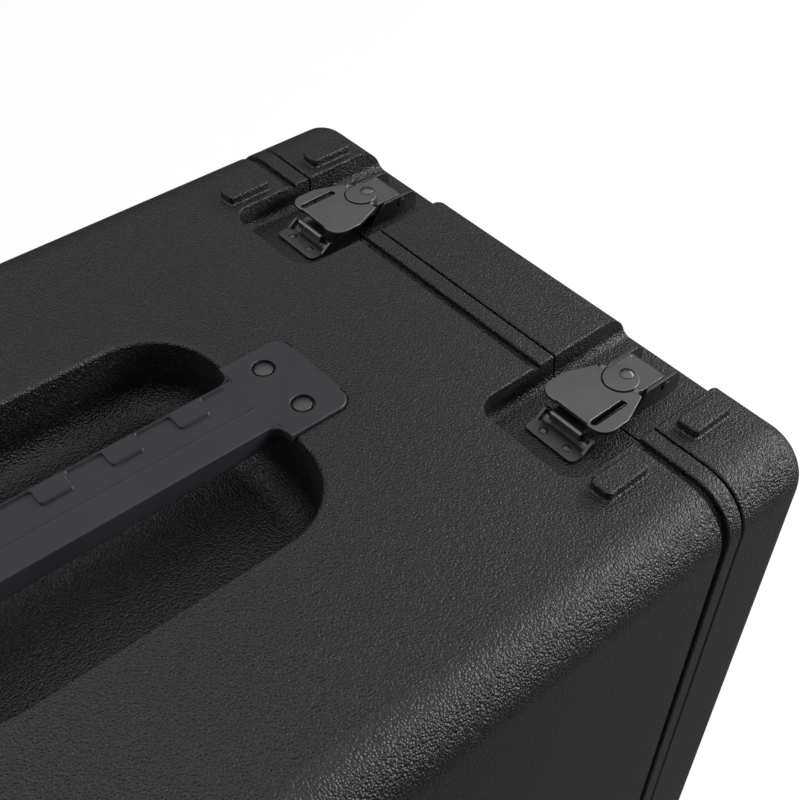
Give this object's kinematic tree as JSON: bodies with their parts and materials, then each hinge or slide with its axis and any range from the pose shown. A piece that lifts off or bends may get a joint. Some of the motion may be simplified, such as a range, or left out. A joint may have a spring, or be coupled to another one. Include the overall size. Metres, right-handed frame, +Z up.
{
  "type": "rack case",
  "caption": "Moulded rack transit case with removable front and rear lids, recessed folding-wing latches, a flush carrying handle on each side and inner rack rails.",
  "frame": {"origin": "middle of the footprint on the floor, under the feet of the lower side face", "axes": "+Z up through the side face with the handle, -Y towards the front lid, X along the parting line"},
  "size_m": [0.4, 0.605, 0.571],
  "materials": {
    "moulded_shell": "fine pebble grain, satin black",
    "grip_plastic": "smooth satin black",
    "latch_metal": "dark grey coated sheet steel with paler edges",
    "fastener_metal": "dark grey domed rivets, pins and screws",
    "rail_steel": "black powder coat",
    "seal_rubber": "soft black"
  },
  "bodies": {
    "case": {"body_shell": "moulded_shell", "upper_handle": "grip_plastic", "lower_handle": "grip_plastic", "handle_rivets": "fastener_metal", "rail_screws": "fastener_metal", "keeper_rivets": "fastener_metal", "front_seal": "seal_rubber", "rear_seal": "seal_rubber", "front_upper_rack_rail": "rail_steel", "front_upper_keepers": "latch_metal", "front_lower_rack_rail": "rail_steel", "front_lower_keepers": "latch_metal", "rear_upper_rack_rail": "rail_steel", "rear_upper_keepers": "latch_metal", "rear_lower_rack_rail": "rail_steel", "rear_lower_keepers": "latch_metal"},
    "front_lid_set": {"front_lid": "moulded_shell", "front_upper_brackets": "latch_metal", "front_lower_brackets": "latch_metal", "front_bracket_rivets": "fastener_metal", "front_hinge_pins": "fastener_metal"},
    "front_upper_right_lever": {"front_upper_right_lever": "latch_metal"},
    "front_upper_right_hub": {"front_upper_right_hub": "latch_metal"},
    "front_upper_right_wing": {"front_upper_right_wing": "latch_metal"},
    "front_upper_right_hook": {"front_upper_right_hook": "latch_metal"},
    "front_upper_left_lever": {"front_upper_left_lever": "latch_metal"},
    "front_upper_left_hub": {"front_upper_left_hub": "latch_metal"},
    "front_upper_left_wing": {"front_upper_left_wing": "latch_metal"},
    "front_upper_left_hook": {"front_upper_left_hook": "latch_metal"},
    "front_lower_right_lever": {"front_lower_right_lever": "latch_metal"},
    "front_lower_right_hub": {"front_lower_right_hub": "latch_metal"},
    "front_lower_right_wing": {"front_lower_right_wing": "latch_metal"},
    "front_lower_right_hook": {"front_lower_right_hook": "latch_metal"},
    "front_lower_left_lever": {"front_lower_left_lever": "latch_metal"},
    "front_lower_left_hub": {"front_lower_left_hub": "latch_metal"},
    "front_lower_left_wing": {"front_lower_left_wing": "latch_metal"},
    "front_lower_left_hook": {"front_lower_left_hook": "latch_metal"},
    "rear_lid_set": {"rear_lid": "moulded_shell", "rear_upper_brackets": "latch_metal", "rear_lower_brackets": "latch_metal", "rear_bracket_rivets": "fastener_metal", "rear_hinge_pins": "fastener_metal"},
    "rear_upper_right_lever": {"rear_upper_right_lever": "latch_metal"},
    "rear_upper_right_hub": {"rear_upper_right_hub": "latch_metal"},
    "rear_upper_right_wing": {"rear_upper_right_wing": "latch_metal"},
    "rear_upper_right_hook": {"rear_upper_right_hook": "latch_metal"},
    "rear_upper_left_lever": {"rear_upper_left_lever": "latch_metal"},
    "rear_upper_left_hub": {"rear_upper_left_hub": "latch_metal"},
    "rear_upper_left_wing": {"rear_upper_left_wing": "latch_metal"},
    "rear_upper_left_hook": {"rear_upper_left_hook": "latch_metal"},
    "rear_lower_right_lever": {"rear_lower_right_lever": "latch_metal"},
    "rear_lower_right_hub": {"rear_lower_right_hub": "latch_metal"},
    "rear_lower_right_wing": {"rear_lower_right_wing": "latch_metal"},
    "rear_lower_right_hook": {"rear_lower_right_hook": "latch_metal"},
    "rear_lower_left_lever": {"rear_lower_left_lever": "latch_metal"},
    "rear_lower_left_hub": {"rear_lower_left_hub": "latch_metal"},
    "rear_lower_left_wing": {"rear_lower_left_wing": "latch_metal"},
    "rear_lower_left_hook": {"rear_lower_left_hook": "latch_metal"}
  },
  "joints": [
    {"name": "front_lid_slide", "type": "slide", "parent": "case", "child": "front_lid_set", "axis": [0, -1, 0], "range_m": [0, 0.04]},
    {"name": "front_upper_right_lever_lift", "type": "hinge", "parent": "front_lid_set", "child": "front_upper_right_lever", "pos_m": [0.105, -0.2807, 0.5582], "axis": [1, 0, 0], "range_deg": [0, 105]},
    {"name": "front_upper_right_hub_turn", "type": "hinge", "parent": "front_upper_right_lever", "child": "front_upper_right_hub", "pos_m": [0.105, -0.2598, 0.5629], "axis": [0, 0, 1], "range_deg": [0, 181]},
    {"name": "front_upper_right_wing_fold", "type": "hinge", "parent": "front_upper_right_hub", "child": "front_upper_right_wing", "pos_m": [0.105, -0.2598, 0.5649], "axis": [1, 0, 0], "range_deg": [0, 90]},
    {"name": "front_upper_right_hook_slide", "type": "slide", "parent": "front_upper_right_lever", "child": "front_upper_right_hook", "axis": [0, 1, 0], "range_m": [0, 0.0093]},
    {"name": "front_upper_left_lever_lift", "type": "hinge", "parent": "front_lid_set", "child": "front_upper_left_lever", "pos_m": [-0.105, -0.2807, 0.5582], "axis": [1, 0, 0], "range_deg": [0, 105]},
    {"name": "front_upper_left_hub_turn", "type": "hinge", "parent": "front_upper_left_lever", "child": "front_upper_left_hub", "pos_m": [-0.105, -0.2598, 0.5629], "axis": [0, 0, -1], "range_deg": [0, 181]},
    {"name": "front_upper_left_wing_fold", "type": "hinge", "parent": "front_upper_left_hub", "child": "front_upper_left_wing", "pos_m": [-0.105, -0.2598, 0.5649], "axis": [1, 0, 0], "range_deg": [0, 90]},
    {"name": "front_upper_left_hook_slide", "type": "slide", "parent": "front_upper_left_lever", "child": "front_upper_left_hook", "axis": [0, 1, 0], "range_m": [0, 0.0093]},
    {"name": "front_lower_right_lever_lift", "type": "hinge", "parent": "front_lid_set", "child": "front_lower_right_lever", "pos_m": [0.105, -0.2807, 0.0128], "axis": [-1, 0, 0], "range_deg": [0, 105]},
    {"name": "front_lower_right_hub_turn", "type": "hinge", "parent": "front_lower_right_lever", "child": "front_lower_right_hub", "pos_m": [0.105, -0.2598, 0.0081], "axis": [0, 0, 1], "range_deg": [0, 181]},
    {"name": "front_lower_right_wing_fold", "type": "hinge", "parent": "front_lower_right_hub", "child": "front_lower_right_wing", "pos_m": [0.105, -0.2598, 0.0061], "axis": [-1, 0, 0], "range_deg": [0, 90]},
    {"name": "front_lower_right_hook_slide", "type": "slide", "parent": "front_lower_right_lever", "child": "front_lower_right_hook", "axis": [0, 1, 0], "range_m": [0, 0.0093]},
    {"name": "front_lower_left_lever_lift", "type": "hinge", "parent": "front_lid_set", "child": "front_lower_left_lever", "pos_m": [-0.105, -0.2807, 0.0128], "axis": [-1, 0, 0], "range_deg": [0, 105]},
    {"name": "front_lower_left_hub_turn", "type": "hinge", "parent": "front_lower_left_lever", "child": "front_lower_left_hub", "pos_m": [-0.105, -0.2598, 0.0081], "axis": [0, 0, -1], "range_deg": [0, 181]},
    {"name": "front_lower_left_wing_fold", "type": "hinge", "parent": "front_lower_left_hub", "child": "front_lower_left_wing", "pos_m": [-0.105, -0.2598, 0.0061], "axis": [-1, 0, 0], "range_deg": [0, 90]},
    {"name": "front_lower_left_hook_slide", "type": "slide", "parent": "front_lower_left_lever", "child": "front_lower_left_hook", "axis": [0, 1, 0], "range_m": [0, 0.0093]},
    {"name": "rear_lid_slide", "type": "slide", "parent": "case", "child": "rear_lid_set", "axis": [0, 1, 0], "range_m": [0, 0.04]},
    {"name": "rear_upper_right_lever_lift", "type": "hinge", "parent": "rear_lid_set", "child": "rear_upper_right_lever", "pos_m": [0.105, 0.2807, 0.5582], "axis": [-1, 0, 0], "range_deg": [0, 105]},
    {"name": "rear_upper_right_hub_turn", "type": "hinge", "parent": "rear_upper_right_lever", "child": "rear_upper_right_hub", "pos_m": [0.105, 0.2598, 0.5629], "axis": [0, 0, -1], "range_deg": [0, 181]},
    {"name": "rear_upper_right_wing_fold", "type": "hinge", "parent": "rear_upper_right_hub", "child": "rear_upper_right_wing", "pos_m": [0.105, 0.2598, 0.5649], "axis": [-1, 0, 0], "range_deg": [0, 90]},
    {"name": "rear_upper_right_hook_slide", "type": "slide", "parent": "rear_upper_right_lever", "child": "rear_upper_right_hook", "axis": [0, -1, 0], "range_m": [0, 0.0093]},
    {"name": "rear_upper_left_lever_lift", "type": "hinge", "parent": "rear_lid_set", "child": "rear_upper_left_lever", "pos_m": [-0.105, 0.2807, 0.5582], "axis": [-1, 0, 0], "range_deg": [0, 105]},
    {"name": "rear_upper_left_hub_turn", "type": "hinge", "parent": "rear_upper_left_lever", "child": "rear_upper_left_hub", "pos_m": [-0.105, 0.2598, 0.5629], "axis": [0, 0, 1], "range_deg": [0, 181]},
    {"name": "rear_upper_left_wing_fold", "type": "hinge", "parent": "rear_upper_left_hub", "child": "rear_upper_left_wing", "pos_m": [-0.105, 0.2598, 0.5649], "axis": [-1, 0, 0], "range_deg": [0, 90]},
    {"name": "rear_upper_left_hook_slide", "type": "slide", "parent": "rear_upper_left_lever", "child": "rear_upper_left_hook", "axis": [0, -1, 0], "range_m": [0, 0.0093]},
    {"name": "rear_lower_right_lever_lift", "type": "hinge", "parent": "rear_lid_set", "child": "rear_lower_right_lever", "pos_m": [0.105, 0.2807, 0.0128], "axis": [1, 0, 0], "range_deg": [0, 105]},
    {"name": "rear_lower_right_hub_turn", "type": "hinge", "parent": "rear_lower_right_lever", "child": "rear_lower_right_hub", "pos_m": [0.105, 0.2598, 0.0081], "axis": [0, 0, -1], "range_deg": [0, 181]},
    {"name": "rear_lower_right_wing_fold", "type": "hinge", "parent": "rear_lower_right_hub", "child": "rear_lower_right_wing", "pos_m": [0.105, 0.2598, 0.0061], "axis": [1, 0, 0], "range_deg": [0, 90]},
    {"name": "rear_lower_right_hook_slide", "type": "slide", "parent": "rear_lower_right_lever", "child": "rear_lower_right_hook", "axis": [0, -1, 0], "range_m": [0, 0.0093]},
    {"name": "rear_lower_left_lever_lift", "type": "hinge", "parent": "rear_lid_set", "child": "rear_lower_left_lever", "pos_m": [-0.105, 0.2807, 0.0128], "axis": [1, 0, 0], "range_deg": [0, 105]},
    {"name": "rear_lower_left_hub_turn", "type": "hinge", "parent": "rear_lower_left_lever", "child": "rear_lower_left_hub", "pos_m": [-0.105, 0.2598, 0.0081], "axis": [0, 0, 1], "range_deg": [0, 181]},
    {"name": "rear_lower_left_wing_fold", "type": "hinge", "parent": "rear_lower_left_hub", "child": "rear_lower_left_wing", "pos_m": [-0.105, 0.2598, 0.0061], "axis": [1, 0, 0], "range_deg": [0, 90]},
    {"name": "rear_lower_left_hook_slide", "type": "slide", "parent": "rear_lower_left_lever", "child": "rear_lower_left_hook", "axis": [0, -1, 0], "range_m": [0, 0.0093]}
  ],
  "couplings": [
    {"joint": "front_upper_right_lever_lift", "follows": "front_lid_slide", "rad_per_m": 45},
    {"joint": "front_upper_right_hub_turn", "follows": "front_upper_right_wing_fold", "ratio": 2},
    {"joint": "front_upper_right_hook_slide", "follows": "front_upper_right_wing_fold", "m_per_rad": 0.0058569},
    {"joint": "front_upper_left_lever_lift", "follows": "front_lid_slide", "rad_per_m": 45},
    {"joint": "front_upper_left_hub_turn", "follows": "front_upper_left_wing_fold", "ratio": 2},
    {"joint": "front_upper_left_hook_slide", "follows": "front_upper_left_wing_fold", "m_per_rad": 0.0058569},
    {"joint": "front_lower_right_lever_lift", "follows": "front_lid_slide", "rad_per_m": 45},
    {"joint": "front_lower_right_hub_turn", "follows": "front_lower_right_wing_fold", "ratio": 2},
    {"joint": "front_lower_right_hook_slide", "follows": "front_lower_right_wing_fold", "m_per_rad": 0.0058569},
    {"joint": "front_lower_left_lever_lift", "follows": "front_lid_slide", "rad_per_m": 45},
    {"joint": "front_lower_left_hub_turn", "follows": "front_lower_left_wing_fold", "ratio": 2},
    {"joint": "front_lower_left_hook_slide", "follows": "front_lower_left_wing_fold", "m_per_rad": 0.0058569},
    {"joint": "rear_upper_right_lever_lift", "follows": "rear_lid_slide", "rad_per_m": 45},
    {"joint": "rear_upper_right_hub_turn", "follows": "rear_upper_right_wing_fold", "ratio": 2},
    {"joint": "rear_upper_right_hook_slide", "follows": "rear_upper_right_wing_fold", "m_per_rad": 0.0058569},
    {"joint": "rear_upper_left_lever_lift", "follows": "rear_lid_slide", "rad_per_m": 45},
    {"joint": "rear_upper_left_hub_turn", "follows": "rear_upper_left_wing_fold", "ratio": 2},
    {"joint": "rear_upper_left_hook_slide", "follows": "rear_upper_left_wing_fold", "m_per_rad": 0.0058569},
    {"joint": "rear_lower_right_lever_lift", "follows": "rear_lid_slide", "rad_per_m": 45},
    {"joint": "rear_lower_right_hub_turn", "follows": "rear_lower_right_wing_fold", "ratio": 2},
    {"joint": "rear_lower_right_hook_slide", "follows": "rear_lower_right_wing_fold", "m_per_rad": 0.0058569},
    {"joint": "rear_lower_left_lever_lift", "follows": "rear_lid_slide", "rad_per_m": 45},
    {"joint": "rear_lower_left_hub_turn", "follows": "rear_lower_left_wing_fold", "ratio": 2},
    {"joint": "rear_lower_left_hook_slide", "follows": "rear_lower_left_wing_fold", "m_per_rad": 0.0058569}
  ]
}
